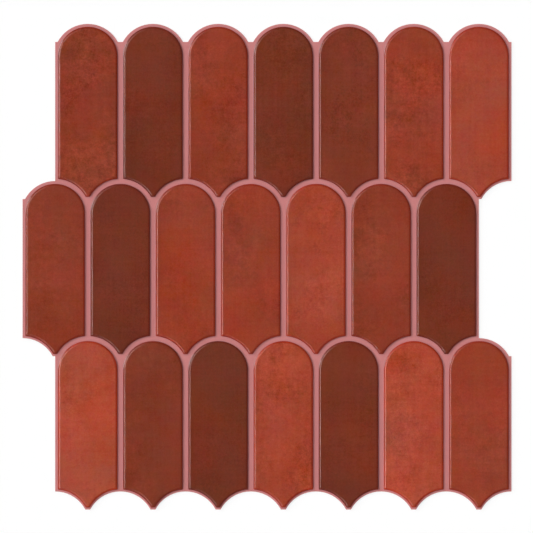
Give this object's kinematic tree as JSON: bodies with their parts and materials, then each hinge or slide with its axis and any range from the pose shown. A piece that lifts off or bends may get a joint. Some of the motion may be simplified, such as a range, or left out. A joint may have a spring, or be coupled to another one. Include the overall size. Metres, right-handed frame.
{
  "type": "self-adhesive wall panel",
  "caption": "Self-adhesive wall panel: a die-cut grout-coloured sheet with staggered rows of raised, arch-headed feather tiles in terracotta shades, nesting with its neighbours on a wall.",
  "frame": {"origin": "centre of the outline's box, on the adhesive back that the panel lies on", "axes": "+Z out of the tiled face, +Y towards the arched heads, which is up on the wall, and +X to the right as the face is seen"},
  "size_m": [0.3, 0.298, 0.002],
  "materials": {
    "grout_vinyl": "matte",
    "umber_glaze": "satin",
    "chestnut_glaze": "satin",
    "russet_glaze": "satin",
    "brick_glaze": "satin",
    "terracotta_glaze": "satin",
    "ember_glaze": "satin"
  },
  "bodies": {
    "root": {"backing_sheet": "grout_vinyl", "tile_top_1": "russet_glaze", "tile_top_2": "umber_glaze", "tile_top_3": "russet_glaze", "tile_top_4": "umber_glaze", "tile_top_5": "chestnut_glaze", "tile_top_6": "brick_glaze", "tile_top_7": "terracotta_glaze", "tile_middle_1": "russet_glaze", "tile_middle_2": "umber_glaze", "tile_middle_3": "brick_glaze", "tile_middle_4": "brick_glaze", "tile_middle_5": "terracotta_glaze", "tile_middle_6": "russet_glaze", "tile_middle_7": "umber_glaze", "tile_bottom_1": "ember_glaze", "tile_bottom_2": "chestnut_glaze", "tile_bottom_3": "umber_glaze", "tile_bottom_4": "terracotta_glaze", "tile_bottom_5": "umber_glaze", "tile_bottom_6": "ember_glaze", "tile_bottom_7": "brick_glaze"}
  },
  "joints": []
}
